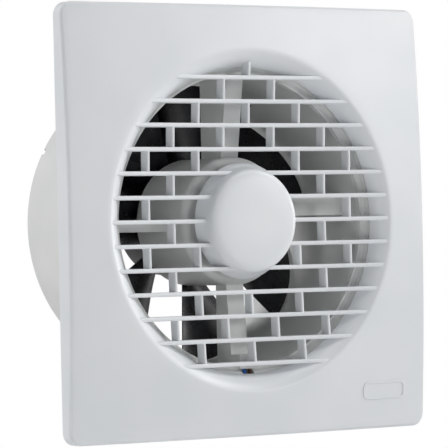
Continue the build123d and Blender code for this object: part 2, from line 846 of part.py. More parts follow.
with BuildPart() as terminal_screws:
    for x in (terminal_x - pole_offset, terminal_x + pole_offset):
        for z in (terminal_z - pole_screw_offset, terminal_z + pole_screw_offset):
            with BuildSketch(Plane.XZ.offset(5.7)):
                with Locations((x, z)):
                    Circle(1.1)
            extrude(amount=0.4)
            with BuildSketch(Plane.XZ.offset(6.1)):
                with Locations((x, z)):
                    Circle(1.5)
            extrude(amount=0.8)
            with BuildSketch(Plane.XZ.offset(6.5)):
                with Locations((x, z)):
                    Rectangle(2.4, 0.5)
            extrude(amount=1, mode=Mode.SUBTRACT)
terminal_screws.part.label = "terminal_screws"
export_step(terminal_screws.part, "parts/terminal_screws.step")

with BuildPart() as terminal_cover:
    with BuildSketch(Plane.XZ.offset(lid_rear)):
        with Locations((terminal_x, terminal_z + 0.4)):
            RectangleRounded(26.8, 16.4, 1.0)
        with Locations((lid_screw_x + 2.4, terminal_z)):
            RectangleRounded(9.0, 6.0, 2.0)
        with Locations((lid_screw_x, terminal_z)):
            Circle(1.3, mode=Mode.SUBTRACT)
    extrude(amount=lid_wall)
terminal_cover.part.label = "terminal_cover"
export_step(terminal_cover.part, "parts/terminal_cover.step")

with BuildPart() as terminal_cover_screw:
    with BuildSketch(Plane.XZ.offset(lid_rear - 4)):
        with Locations((lid_screw_x, terminal_z)):
            Circle(1.0)
    extrude(amount=4 + lid_wall)
    with BuildSketch(Plane.XZ.offset(lid_rear + lid_wall)):
        with Locations((lid_screw_x, terminal_z)):
            Circle(2.0)
    extrude(amount=0.9)
    with BuildSketch(Plane.XZ.offset(lid_rear + lid_wall + 0.5)):
        with Locations((lid_screw_x, terminal_z)):
            Rectangle(3.0, 0.5)
            Rectangle(0.5, 3.0)
    extrude(amount=1, mode=Mode.SUBTRACT)
terminal_cover_screw.part.label = "terminal_cover_screw"
export_step(terminal_cover_screw.part, "parts/terminal_cover_screw.step")

with BuildPart() as cable_clamp:
    with BuildSketch(Plane.XZ.offset(clamp_rear)):
        with Locations((clamp_x, cable_hole_z)):
            RectangleRounded(6.0, 2 * clamp_screw_offset + 5.6, 1.5)
    extrude(amount=2.0)
    with BuildSketch(Plane.XZ.offset(clamp_rear - 1)):
        with Locations((clamp_x, cable_hole_z)):
            with GridLocations(0, 2 * clamp_screw_offset, 1, 2):
                Circle(1.3)
    extrude(amount=6, mode=Mode.SUBTRACT)
cable_clamp.part.label = "cable_clamp"
export_step(cable_clamp.part, "parts/cable_clamp.step")

with BuildPart() as cable_clamp_screws:
    for z in (cable_hole_z - clamp_screw_offset, cable_hole_z + clamp_screw_offset):
        with BuildSketch(Plane.XZ.offset(clamp_rear - 2.0)):
            with Locations((clamp_x, z)):
                Circle(1.0)
        extrude(amount=4.0)
        with BuildSketch(Plane.XZ.offset(clamp_rear + 2.0)):
            with Locations((clamp_x, z)):
                Circle(2.0)
        extrude(amount=1.1)
        with BuildSketch(Plane.XZ.offset(clamp_rear + 2.6)):
            with Locations((clamp_x, z)):
                Rectangle(3.0, 0.5)
                Rectangle(0.5, 3.0)
        extrude(amount=1, mode=Mode.SUBTRACT)
cable_clamp_screws.part.label = "cable_clamp_screws"
export_step(cable_clamp_screws.part, "parts/cable_clamp_screws.step")

with BuildPart() as cable_grommet:
    with BuildSketch(Plane.XZ):
        with Locations((cable_hole_x, cable_hole_z)):
            Circle(cable_hole_radius)
    extrude(amount=frame_wall)
    with BuildSketch(Plane.XZ.offset(frame_wall)):
        with Locations((cable_hole_x, cable_hole_z)):
            Circle(cable_hole_radius + 1.6)
    extrude(amount=1.4)
    with BuildSketch(Plane.XZ.offset(-1)):
        with Locations((cable_hole_x, cable_hole_z)):
            Circle(grommet_bore_radius)
    extrude(amount=6, mode=Mode.SUBTRACT)
cable_grommet.part.label = "cable_grommet"
export_step(cable_grommet.part, "parts/cable_grommet.step")

# Leads from the coil, down the lower arm, to the terminals.
lead_routes = {
    "lead_brown": (lead_x, -4.6, -79.9, terminal_x + pole_offset),
    "lead_blue": (-lead_x, -4.6, -77.8, terminal_x - pole_offset),
}
lead_parts = {}
for name, (x, run_y, run_z, end_x) in lead_routes.items():
    with BuildPart() as lead:
        with BuildLine() as route:
            FilletPolyline(
                (x, lead_y, -23.0),
                (x, lead_y, -68.8),
                (x, -1.6, -68.8),
                (x, run_y, run_z),
                (end_x, run_y, run_z),
                (end_x, run_y, terminal_z + 2.0),
                radius=lead_bend,
            )
        with BuildSketch(Plane(origin=(x, lead_y, -23.0), z_dir=(0, 0, -1))):
            Circle(lead_radius)
        sweep()
    print(name, "length", round(sum(edge.length for edge in route.edges()), 1))
    lead.part.label = name
    lead_parts[name] = lead.part
    export_step(lead.part, f"parts/{name}.step")

# Blank foil plate for the ratings, stuck inside under the cover.
with BuildPart() as rating_plate:
    with BuildSketch(Plane.XZ.offset(frame_wall)):
        with Locations((42, -89)):
            RectangleRounded(38, 15, 1.0)
    extrude(amount=0.2)
rating_plate.part.label = "rating_plate"
export_step(rating_plate.part, "parts/rating_plate.step")
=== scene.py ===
import bmesh
import bpy
import json
import math
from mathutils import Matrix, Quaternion, Vector


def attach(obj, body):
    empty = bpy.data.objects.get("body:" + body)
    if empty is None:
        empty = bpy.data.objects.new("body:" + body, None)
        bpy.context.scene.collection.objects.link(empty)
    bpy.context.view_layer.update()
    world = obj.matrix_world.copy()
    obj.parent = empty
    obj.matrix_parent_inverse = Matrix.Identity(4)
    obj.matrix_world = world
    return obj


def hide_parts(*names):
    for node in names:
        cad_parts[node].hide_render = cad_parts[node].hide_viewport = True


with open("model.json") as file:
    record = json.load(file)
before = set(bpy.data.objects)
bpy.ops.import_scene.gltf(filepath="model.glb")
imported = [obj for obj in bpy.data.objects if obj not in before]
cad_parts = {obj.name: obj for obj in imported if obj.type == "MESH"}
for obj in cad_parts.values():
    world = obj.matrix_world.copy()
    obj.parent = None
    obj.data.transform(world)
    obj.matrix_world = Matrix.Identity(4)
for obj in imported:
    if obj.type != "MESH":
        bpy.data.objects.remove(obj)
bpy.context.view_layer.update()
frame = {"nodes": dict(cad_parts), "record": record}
print("frame loaded:", len(frame["nodes"]), "nodes")


def mm(value):
    return value / 1000


def hexToLinear(hexColour):
    channels = [int(hexColour[i:i + 2], 16) / 255 for i in (1, 3, 5)]
    return tuple(c / 12.92 if c <= 0.04045 else ((c + 0.055) / 1.055) ** 2.4 for c in channels) + (1,)


def addNode(tree, kind, settings=None, inputs=None, outputs=None, ramp=None):
    # inputs take a plain value or another node's output, outputs go to a list of input sockets,
    # ramp is a list of two (position, hex colour) stops
    node = tree.nodes.new(kind)
    for name, value in (settings or {}).items():
        setattr(node, name, value)
    for stop, (position, hexColour) in zip(node.color_ramp.elements if ramp else (), ramp or ()):
        stop.position = position
        stop.color = hexToLinear(hexColour)
    for name, value in (inputs or {}).items():
        if isinstance(value, bpy.types.NodeSocket):
            tree.links.new(value, node.inputs[name])
        else:
            node.inputs[name].default_value = value
    for name, sockets in (outputs or {}).items():
        for socket in sockets:
            tree.links.new(node.outputs[name], socket)
    return node


def newMaterial(name, colour, roughness, metallic=0.0, ior=1.5, coat=0.0, coatRoughness=0.1):
    # returns the material with its tree, its shader and the place on the piece that patterns use
    material = bpy.data.materials.new(name)
    material.use_nodes = True
    tree = material.node_tree
    shader = tree.nodes["Principled BSDF"]
    shader.inputs["Base Color"].default_value = hexToLinear(colour)
    shader.inputs["Roughness"].default_value = roughness
    shader.inputs["Metallic"].default_value = metallic
    shader.inputs["IOR"].default_value = ior
    shader.inputs["Coat Weight"].default_value = coat
    shader.inputs["Coat Roughness"].default_value = coatRoughness
    place = addNode(tree, "ShaderNodeTexCoord").outputs["Object"]
    return material, tree, shader, place


# Moulded ABS, satin: even and opaque, with soft wide highlights, a fine orange peel from the
# tool and very slight waves over the wide panels.
coverAbs = {"colour": "#E6E8EA", "colourDeep": "#E1E4E7", "smooth": 0.30, "rough": 0.40,
            "peelMm": 0.55, "peelDepthMm": 0.012, "wavesMm": 38, "wavesDepthMm": 0.05, "sheenMm": 9}


def mouldedAbs(name, look):
    material, tree, shader, place = newMaterial(name, look["colour"], look["smooth"], ior=1.53)
    waves = addNode(tree, "ShaderNodeTexNoise", None,
                    {"Vector": place, "Scale": 1000 / look["wavesMm"], "Detail": 1.0}).outputs["Fac"]
    peel = addNode(tree, "ShaderNodeTexNoise", None,
                   {"Vector": place, "Scale": 1000 / look["peelMm"], "Detail": 3.0}).outputs["Fac"]
    sheen = addNode(tree, "ShaderNodeTexNoise", None,
                    {"Vector": place, "Scale": 1000 / look["sheenMm"], "Detail": 4.0}).outputs["Fac"]
    addNode(tree, "ShaderNodeValToRGB", None, {"Fac": waves}, {"Color": [shader.inputs["Base Color"]]},
            [(0.3, look["colourDeep"]), (0.7, look["colour"])])
    addNode(tree, "ShaderNodeMapRange", None,
            {"Value": sheen, "To Min": look["smooth"], "To Max": look["rough"]},
            {"Result": [shader.inputs["Roughness"]]})
    broad = addNode(tree, "ShaderNodeBump", None, {"Height": waves, "Distance": mm(look["wavesDepthMm"])})
    addNode(tree, "ShaderNodeBump", None,
            {"Height": peel, "Distance": mm(look["peelDepthMm"]), "Normal": broad.outputs["Normal"]},
            {"Normal": [shader.inputs["Normal"]]})
    return material


coverWhite = mouldedAbs("moulded_abs_white_satin", coverAbs)

# The frame and spigot: same plastic from a plainer tool, a touch duller and warmer.
frameAbs = {"colour": "#E3E4E2", "colourDeep": "#DCDEDC", "smooth": 0.34, "rough": 0.48,
            "peelMm": 0.8, "peelDepthMm": 0.018, "wavesMm": 26, "wavesDepthMm": 0.06, "sheenMm": 9}
frameWhite = mouldedAbs("moulded_abs_frame", frameAbs)

# Black ABS from a polished tool: deep, slightly blue, with clear reflections and a film of
# dust that dulls it in patches.
impellerAbs = {"colour": "#090B11", "dusty": "#10131A", "smooth": 0.22, "rough": 0.34, "dustMm": 7,
               "sinkMm": 14, "sinkDepthMm": 0.05}


def polishedAbs(name, look):
    material, tree, shader, place = newMaterial(name, look["colour"], look["smooth"], ior=1.5,
                                                coat=0.05, coatRoughness=0.1)
    dust = addNode(tree, "ShaderNodeTexNoise", None,
                   {"Vector": place, "Scale": 1000 / look["dustMm"], "Detail": 5.0,
                    "Roughness": 0.62}).outputs["Fac"]
    sink = addNode(tree, "ShaderNodeTexNoise", None,
                   {"Vector": place, "Scale": 1000 / look["sinkMm"], "Detail": 1.0}).outputs["Fac"]
    addNode(tree, "ShaderNodeValToRGB", None, {"Fac": dust}, {"Color": [shader.inputs["Base Color"]]},
            [(0.45, look["colour"]), (0.75, look["dusty"])])
    addNode(tree, "ShaderNodeMapRange", None,
            {"Value": dust, "To Min": look["smooth"], "To Max": look["rough"]},
            {"Result": [shader.inputs["Roughness"]]})
    addNode(tree, "ShaderNodeBump", None, {"Height": sink, "Distance": mm(look["sinkDepthMm"])},
            {"Normal": [shader.inputs["Normal"]]})
    return material


impellerBlack = polishedAbs("polished_abs_black", impellerAbs)

# Punched silicon steel: 0.5 mm sheets stacked along the axis, blue-grey with dark gaps.
# The sheets are drawn 1 mm apart so that they show.
laminations = {"sheetMm": 1.0, "colour": "#7C8087", "gap": "#2B2D31", "wearMm": 3,
               "smooth": 0.34, "rough": 0.52, "stepMm": 0.06}


def stackedSteel(name, look):
    material, tree, shader, place = newMaterial(name, look["colour"], look["smooth"], metallic=1.0)
    # a wave texture repeats every 20 / tau of its scale, so one band is one sheet
    bands = addNode(tree, "ShaderNodeTexWave",
                    {"wave_type": "BANDS", "bands_direction": "Y", "wave_profile": "SIN"},
                    {"Vector": place, "Scale": 1000 / look["sheetMm"] * math.tau / 20,
                     "Distortion": 0.15, "Detail": 2.0, "Detail Scale": 3.0}).outputs["Fac"]
    wear = addNode(tree, "ShaderNodeTexNoise", None,
                   {"Vector": place, "Scale": 1000 / look["wearMm"], "Detail": 4.0}).outputs["Fac"]
    addNode(tree, "ShaderNodeValToRGB", None, {"Fac": bands}, {"Color": [shader.inputs["Base Color"]]},
            [(0.05, look["gap"]), (0.35, look["colour"])])
    addNode(tree, "ShaderNodeMapRange", None,
            {"Value": wear, "To Min": look["smooth"], "To Max": look["rough"]},
            {"Result": [shader.inputs["Roughness"]]})
    addNode(tree, "ShaderNodeBump", None, {"Height": bands, "Distance": mm(look["stepMm"])},
            {"Normal": [shader.inputs["Normal"]]})
    return material


laminatedSteel = stackedSteel("laminated_silicon_steel", laminations)

# Enamelled copper wire, wound in close turns: glossy red-brown varnish over metal.
# The 0.25 mm wire is drawn at 0.5 mm so that the turns show.
winding = {"wireMm": 0.5, "colour": "#9A4A1E", "shade": "#54230C", "smooth": 0.24, "rough": 0.36,
           "turnDepthMm": 0.15}


def woundCopper(name, look):
    material, tree, shader, place = newMaterial(name, look["colour"], look["smooth"], metallic=0.7,
                                                coat=0.5, coatRoughness=0.15)
    turns = addNode(tree, "ShaderNodeTexWave",
                    {"wave_type": "BANDS", "bands_direction": "X", "wave_profile": "SIN"},
                    {"Vector": place, "Scale": 1000 / look["wireMm"] * math.tau / 20,
                     "Distortion": 0.4, "Detail": 2.0, "Detail Scale": 2.0}).outputs["Fac"]
    addNode(tree, "ShaderNodeValToRGB", None, {"Fac": turns}, {"Color": [shader.inputs["Base Color"]]},
            [(0.1, look["shade"]), (0.6, look["colour"])])
    addNode(tree, "ShaderNodeMapRange", None,
            {"Value": turns, "To Min": look["rough"], "To Max": look["smooth"]},
            {"Result": [shader.inputs["Roughness"]]})
    addNode(tree, "ShaderNodeBump", None, {"Height": turns, "Distance": mm(look["turnDepthMm"])},
            {"Normal": [shader.inputs["Normal"]]})
    return material


enamelledCopper = woundCopper("enamelled_copper_wire", winding)


def castMetal(name, colour, deep, roughness, grainMm, poreDepthMm=0.04):
    # cast or sintered metal: matt skin with a fine grain and darker pores
    material, tree, shader, place = newMaterial(name, colour, roughness, metallic=1.0)
    grain = addNode(tree, "ShaderNodeTexNoise", None,
                    {"Vector": place, "Scale": 1000 / grainMm, "Detail": 5.0,
                     "Roughness": 0.65}).outputs["Fac"]
    addNode(tree, "ShaderNodeValToRGB", None, {"Fac": grain}, {"Color": [shader.inputs["Base Color"]]},
            [(0.32, deep), (0.55, colour)])
    addNode(tree, "ShaderNodeMapRange", None,
            {"Value": grain, "To Min": roughness - 0.08, "To Max": roughness + 0.1},
            {"Result": [shader.inputs["Roughness"]]})
    addNode(tree, "ShaderNodeBump", None, {"Height": grain, "Distance": mm(poreDepthMm)},
            {"Normal": [shader.inputs["Normal"]]})
    return material


zincCasting = castMetal("die_cast_zinc", "#9DA0A4", "#74777B", 0.46, 0.7)
sinteredBronze = castMetal("sintered_bronze", "#A98350", "#7A5A32", 0.48, 0.4)
castAluminium = castMetal("cast_aluminium", "#B4B6B8", "#8D8F92", 0.42, 0.6)


def turnedMetal(name, colour, deep, roughness, lineMm, wearMm=2.5, stretch=12, lineDepthMm=0.015):
    # turned, ground or plated metal: fine rings round the axis and clear highlights; stretch is
    # how many times longer a line is than it is wide
    material, tree, shader, place = newMaterial(name, colour, roughness, metallic=1.0)
    streaks = addNode(tree, "ShaderNodeMapping", None, {"Vector": place, "Scale": (1, stretch, 1)})
    lines = addNode(tree, "ShaderNodeTexNoise", None,
                    {"Vector": streaks.outputs["Vector"], "Scale": 1000 / (lineMm * stretch),
                     "Detail": 3.0}).outputs["Fac"]
    wear = addNode(tree, "ShaderNodeTexNoise", None,
                   {"Vector": place, "Scale": 1000 / wearMm, "Detail": 4.0}).outputs["Fac"]
    addNode(tree, "ShaderNodeValToRGB", None, {"Fac": lines}, {"Color": [shader.inputs["Base Color"]]},
            [(0.3, deep), (0.6, colour)])
    addNode(tree, "ShaderNodeMapRange", None,
            {"Value": wear, "To Min": roughness - 0.06, "To Max": roughness + 0.08},
            {"Result": [shader.inputs["Roughness"]]})
    addNode(tree, "ShaderNodeBump", None, {"Height": lines, "Distance": mm(lineDepthMm)},
            {"Normal": [shader.inputs["Normal"]]})
    return material


groundSteel = turnedMetal("ground_steel", "#B9BBBE", "#9C9EA2", 0.2, 0.3)
zincPlatedSteel = turnedMetal("zinc_plated_steel", "#B6B9BF", "#94979E", 0.3, 0.4)
springSteel = turnedMetal("spring_steel", "#6E7176", "#54575C", 0.34, 0.4)
nickelBrass = turnedMetal("drawn_brass", "#C9A64E", "#A3823A", 0.28, 0.4)
copperBar = turnedMetal("drawn_copper", "#C0713F", "#94522B", 0.3, 0.4)


def plainPlastic(name, colour, deep, roughness, grainMm, depthMm, ior=1.5):
    # polyamide, rubber or PVC: soft sheen, faint mottling and a fine moulded grain
    material, tree, shader, place = newMaterial(name, colour, roughness, ior=ior)
    grain = addNode(tree, "ShaderNodeTexNoise", None,
                    {"Vector": place, "Scale": 1000 / grainMm, "Detail": 4.0}).outputs["Fac"]
    mottle = addNode(tree, "ShaderNodeTexNoise", None,
                     {"Vector": place, "Scale": 1000 / (grainMm * 9), "Detail": 3.0}).outputs["Fac"]
    addNode(tree, "ShaderNodeValToRGB", None, {"Fac": mottle}, {"Color": [shader.inputs["Base Color"]]},
            [(0.3, deep), (0.7, colour)])
    addNode(tree, "ShaderNodeMapRange", None,
            {"Value": grain, "To Min": roughness - 0.07, "To Max": roughness + 0.07},
            {"Result": [shader.inputs["Roughness"]]})
    addNode(tree, "ShaderNodeBump", None, {"Height": grain, "Distance": mm(depthMm)},
            {"Normal": [shader.inputs["Normal"]]})
    return material


blackPolyamide = plainPlastic("black_polyamide", "#1A1A1B", "#101011", 0.5, 0.5, 0.03)
whitePolyamide = plainPlastic("natural_polyamide", "#DCDACE", "#CFCDC0", 0.42, 0.5, 0.02)
grommetRubber = plainPlastic("grommet_rubber", "#19191A", "#0F0F10", 0.62, 0.4, 0.04, ior=1.52)
brownPvc = plainPlastic("brown_pvc_sleeving", "#5A3420", "#472817", 0.36, 0.4, 0.01)
bluePvc = plainPlastic("blue_pvc_sleeving", "#1F5CA8", "#184A8A", 0.36, 0.4, 0.01)
fuseSleeve = plainPlastic("glass_fibre_sleeve", "#D9D2B8", "#C4BC9F", 0.6, 0.35, 0.06)
ratingFoil = castMetal("printed_foil", "#C4C6C8", "#B4B6B8", 0.36, 1.5)

finishes = {
    "white_cover_abs": coverWhite, "white_frame_abs": frameWhite, "silicon_steel": laminatedSteel,
    "copper": copperBar, "black_polyamide": blackPolyamide, "enamelled_copper": enamelledCopper,
    "fuse_sleeve": fuseSleeve, "zinc_casting": zincCasting, "sintered_bronze": sinteredBronze,
    "zinc_plated_steel": zincPlatedSteel, "ground_steel": groundSteel,
    "cast_aluminium": castAluminium, "black_impeller_abs": impellerBlack,
    "spring_steel": springSteel, "white_polyamide": whitePolyamide, "brass": nickelBrass,
    "black_rubber": grommetRubber, "brown_pvc": brownPvc, "blue_pvc": bluePvc, "foil": ratingFoil,
}
for part in frame["record"]["subparts"]:
    node = frame["nodes"][part["node"]]
    node.data.materials.clear()
    node.data.materials.append(finishes[part["material_slot"]])
print("finishes on the frame:", len(finishes))


def smoothLine(points, steps):
    # a smooth curve through the points, as a denser list of points
    line = []
    last = len(points) - 1
    for i in range(last):
        p0, p1, p2, p3 = (points[max(0, min(last, i + k))] for k in (-1, 0, 1, 2))
        for k in range(steps):
            t = k / steps
            line.append(tuple(
                0.5 * (2 * b + (c - a) * t + (2 * a - 5 * b + 4 * c - d) * t ** 2
                       + (3 * b - a - 3 * c + d) * t ** 3)
                for a, b, c, d in zip(p0, p1, p2, p3)))
    return line + [points[-1]]


def addRings(shell, rings, closed=False, capEnds=False):
    # skins rings of points, all with the same count, into quads; closed joins the last to the first
    start = len(shell["points"])
    count = len(rings[0])
    for ring in rings:
        shell["points"].extend((mm(x), mm(y), mm(z)) for x, y, z in ring)
    for k in range(len(rings) if closed else len(rings) - 1):
        a = start + k * count
        b = start + (k + 1) % len(rings) * count
        for i in range(count):
            j = (i + 1) % count
            shell["faces"].append((a + i, a + j, b + j, b + i))
    if capEnds:
        shell["faces"].append(tuple(start + i for i in range(count - 1, -1, -1)))
        shell["faces"].append(tuple(start + (len(rings) - 1) * count + i for i in range(count)))


def addLathe(shell, profile, steps=144):
    # turns (radius, Y) points about the fan axis; the profile is closed
    rings = []
    for radius, y in profile:
        rings.append([(radius * math.cos(math.tau * i / steps), y,
                       radius * math.sin(math.tau * i / steps)) for i in range(steps)])
    addRings(shell, rings, closed=True)


def buildPiece(name, shell, material, body, nodes, sharpDegrees=34):
    mesh = bpy.data.meshes.new(name)
    mesh.from_pydata(shell["points"], [], shell["faces"])
    mesh.validate()
    work = bmesh.new()
    work.from_mesh(mesh)
    bmesh.ops.remove_doubles(work, verts=work.verts, dist=0.000001)
    bmesh.ops.recalc_face_normals(work, faces=work.faces)
    work.to_mesh(mesh)
    work.free()
    mesh.materials.append(material)
    piece = bpy.data.objects.new(name, mesh)
    bpy.context.scene.collection.objects.link(piece)
    for polygon in mesh.polygons:
        polygon.use_smooth = True
    mesh.set_sharp_from_angle(angle=math.radians(sharpDegrees))
    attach(piece, body)
    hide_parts(*nodes)
    return piece


# Front cover: domed plate, flared lip, dished brick grille, boss, badge and legs.
cover = {
    "halfWidth": 105.0, "cornerRadius": 6.5, "wall": 2.4, "rearGap": 0.6,
    "edgeChamfer": 1.1, "chamferEase": 0.12, "rearEase": 0.3,
    "domeDepth": 15.5, "domeRadius": 1319.0,
    "lipRadius": 84.0, "lipMeeting": 81.9, "lipEnd": 75.0, "lipEndDepth": 5.8, "throatRadius": 74.6,
    "barPitch": 11.62, "barHeight": 2.1, "bars": 13, "barStep": 2.5,
    "edgeRounding": 0.55, "rearRounding": 0.25,
    "ribHalfPitch": 14.88, "ribWidth": 1.5, "ribMeeting": 77.2, "ribSetBack": 0.12,
    "gridDepth": 6.0, "dishDepth": 8.4, "dishRadius": 863.0, "bossRoot": 25.3,
    "badgeX": 78.0, "badgeZ": -86.0, "badgeWidth": 27.2, "badgeHeight": 9.2, "badgeCorner": 3.1,
    "badgeLine": 1.35, "badgeRelief": 0.38,
    "legOffset": 99.1, "legHalfWidth": 8.0, "legHalfThick": 0.8,
    "legFront": 10.2, "legRear": 2.8, "legEase": 0.4,
}


def domeDepth(radius):
    return cover["domeDepth"] - cover["domeRadius"] + math.sqrt(cover["domeRadius"] ** 2 - radius ** 2)


def dishDepth(radius):
    return cover["dishDepth"] + cover["dishRadius"] - math.sqrt(cover["dishRadius"] ** 2 - radius ** 2)


def roundedOutline(inset, alongSide=48, aroundCorner=14):
    # the plate's outline moved in by inset; point i always lies on the same part of it
    half = cover["halfWidth"]
    corner = cover["cornerRadius"]
    outline = []
    for quarter in range(4):
        turn = quarter * math.pi / 2
        side = [(half - inset, -(half - corner) + 2 * (half - corner) * k / alongSide)
                for k in range(alongSide)]
        bend = [(half - corner + (corner - inset) * math.cos(math.pi / 2 * k / aroundCorner),
                 half - corner + (corner - inset) * math.sin(math.pi / 2 * k / aroundCorner))
                for k in range(aroundCorner)]
        for x, z in side + bend:
            outline.append((x * math.cos(turn) - z * math.sin(turn),
                            x * math.sin(turn) + z * math.cos(turn)))
    return outline


def addPlate(shell):
    outer = roundedOutline(0)
    edge = roundedOutline(cover["edgeChamfer"] + cover["chamferEase"])
    inner = roundedOutline(cover["wall"])
    headings = [math.atan2(z, x) for x, z in outer]
    lipRadius = cover["lipRadius"]
    rings = []

    def circle(radius, depth):
        rings.append([(radius * math.cos(a), -depth, radius * math.sin(a)) for a in headings])

    def between(target, share, under):
        ring = []
        for (x, z), a in zip(target, headings):
            px = lipRadius * math.cos(a) * (1 - share) + x * share
            pz = lipRadius * math.sin(a) * (1 - share) + z * share
            ring.append((px, -domeDepth(math.hypot(px, pz)) + under, pz))
        rings.append(ring)

    for k in range(1, 12):  # domed face, from the lip to the chamfered edge
        between(edge, k / 12, 0)
    chamfer = cover["edgeChamfer"]
    ease = cover["chamferEase"]
    # the chamfer round the edge, as (inset, drop), with both of its corners eased
    for inset, drop in ((chamfer + ease, 0), (chamfer + 0.4 * ease, 0.15 * ease),
                        (chamfer - 0.4 * ease, 0.6 * ease), (0.6 * ease, chamfer - 0.4 * ease),
                        (0.15 * ease, chamfer + 0.4 * ease), (0, chamfer + ease)):
        ring = []
        for (x, z), (ex, ez) in zip(roundedOutline(inset), edge):
            ring.append((x, drop - domeDepth(math.hypot(ex, ez)), z))
        rings.append(ring)
    rear = cover["rearGap"]
    rearEase = cover["rearEase"]
    rings.append([(x, -rear - rearEase, z) for x, z in outer])
    rings.append([(x, -rear, z) for x, z in roundedOutline(rearEase)])
    rings.append([(x, -rear, z) for x, z in roundedOutline(cover["wall"] - rearEase)])
    rings.append([(x, -rear - rearEase, z) for x, z in inner])
    for k in range(4, -1, -1):  # inner wall and underside, back to the lip
        between(inner, k / 4, cover["wall"])
    # (radius, depth) down the underside of the lip, round its end and back up its flare
    for radius, depth in ((82.2, 10.4), (79.8, 9.2), (78.0, 7.5), (76.6, 5.72), (75.3, 5.62), (75.05, 5.7)):
        circle(radius, depth)
    lip = smoothLine([(75.0, 5.85), (76.2, 7.7), (77.9, 9.7), (79.8, 11.2), (81.8, 12.3),
                      (82.9, 12.7), (lipRadius, domeDepth(lipRadius))], 4)
    for radius, depth in lip:
        circle(radius, depth)
    addRings(shell, rings, closed=True)


def barSection(width, front, rear, rounding):
    # section of a bar across its length: (across, Y), rounded at the front
    half = width / 2
    section = []
    for sign in (1, -1):
        for k in range(5):
            angle = math.pi / 2 * (k if sign == 1 else 4 - k) / 4
            section.append((sign * (half - rounding + rounding * math.cos(angle)),
                            -front + rounding - rounding * math.sin(angle)))
    ease = cover["rearRounding"]
    section.append((-half, -rear - ease))
    section.append((-half + ease, -rear))
    section.append((half - ease, -rear))
    section.append((half, -rear - ease))
    return section


def lipDepthAt(radius):
    # the flare of the lip, taken as straight from its end to where the bars meet it
    share = (min(radius, cover["lipMeeting"]) - cover["lipEnd"]) / (cover["lipMeeting"] - cover["lipEnd"])
    return cover["lipEndDepth"] + share * 6.5


def addBar(shell, along, fixed, start, end, width, setBack=0.0):
    # a bar of the grille from start to end, along X or Z, at the fixed height or side
    stops = {start, end}
    steps = max(2, int(abs(end - start) / cover["barStep"]))
    stops.update(start + (end - start) * k / steps for k in range(steps + 1))
    throat = math.sqrt(max(0.0, cover["throatRadius"] ** 2 - fixed ** 2))
    for edge in (-throat, throat):
        for stop in (edge - 0.05, edge + 0.05):
            if start < stop < end:
                stops.add(stop)
    rings = []
    for stop in sorted(stops):
        radius = math.hypot(stop, fixed)
        front = dishDepth(radius) - setBack
        rear = dishDepth(radius) - cover["gridDepth"]
        if radius > cover["throatRadius"]:
            rear = max(rear, min(front - 1.2, lipDepthAt(radius) - 0.7))  # the bar sinks into the lip
        ring = []
        for across, y in barSection(width, front, rear, cover["edgeRounding"]):
            if along == "X":
                ring.append((stop, y, fixed + across))
            else:
                ring.append((fixed + across, y, stop))
        rings.append(ring)
    addRings(shell, rings, capEnds=True)


def barHeightAt(index):
    return ((cover["bars"] - 1) / 2 - index) * cover["barPitch"]


def addGrille(shell):
    meeting = cover["lipMeeting"]
    root = cover["bossRoot"]
    for index in range(cover["bars"]):
        z = barHeightAt(index)
        reach = math.sqrt(meeting ** 2 - z ** 2)
        if abs(z) < root:
            inside = math.sqrt(root ** 2 - z ** 2)
            addBar(shell, "X", z, -reach, -inside, cover["barHeight"])
            addBar(shell, "X", z, inside, reach, cover["barHeight"])
        else:
            addBar(shell, "X", z, -reach, reach, cover["barHeight"])
    # brick-fashion ribs, in half pitches, for the gap above each bar from the top
    ribColumns = [(0,), (-1, 1), (-2, 0, 2), (-3, -1, 1, 3), (-4, -2, 2, 4), (-3, 3), (-4, 4),
                  (-3, 3), (-4, -2, 2, 4), (-3, 3), (-2, 0, 2), (-3, -1, 1, 3), (-2, 0, 2)]
    for index, columns in enumerate(ribColumns):
        for column in columns:
            x = column * cover["ribHalfPitch"]
            low = barHeightAt(index)
            high = min(barHeightAt(index - 1), math.sqrt(cover["ribMeeting"] ** 2 - x ** 2))
            if math.hypot(x, low) < root:  # the rib starts in the wall of the boss
                low = math.sqrt(root ** 2 - x ** 2)
            if math.hypot(x, high) < root:
                high = -math.sqrt(root ** 2 - x ** 2)
            addBar(shell, "Z", x, low, high, cover["ribWidth"], cover["ribSetBack"])


def addBoss(shell):
    outside = smoothLine([(0.001, -14.38), (10.0, -14.38), (16.0, -14.22), (20.0, -13.95), (22.0, -13.65),
                          (23.2, -13.3), (24.1, -12.85), (24.7, -12.3), (25.4, -10.8), (25.8, -8.8),
                          (26.6, -6.4), (27.8, -4.2), (28.6, -2.9)], 4)
    inside = [(28.4, -2.6), (25.2, -2.6), (25.0, -2.8), (24.4, -5.4), (23.7, -8.4), (22.6, -10.6),
              (20.4, -11.8), (12.0, -12.25), (0.001, -12.4)]
    addLathe(shell, outside + inside)


def addBadge(shell):
    # blank raised outline in the lower corner
    def outline(inset, lift):
        width = cover["badgeWidth"] / 2 - inset
        height = cover["badgeHeight"] / 2 - inset
        corner = cover["badgeCorner"] - inset
        ring = []
        for cx, cz, first in ((1, 1, 0), (-1, 1, 90), (-1, -1, 180), (1, -1, 270)):
            for k in range(9):
                angle = math.radians(first + 90 * k / 8)
                x = cover["badgeX"] + cx * (width - corner) + corner * math.cos(angle)
                z = cover["badgeZ"] + cz * (height - corner) + corner * math.sin(angle)
                ring.append((x, -domeDepth(math.hypot(x, z)) - lift, z))
        return ring
    line = cover["badgeLine"]
    relief = cover["badgeRelief"]
    addRings(shell, [outline(0, -0.3), outline(0.05, 0.12), outline(0.25, relief),
                     outline(line - 0.25, relief), outline(line - 0.05, 0.12), outline(line, -0.3)],
             closed=True)


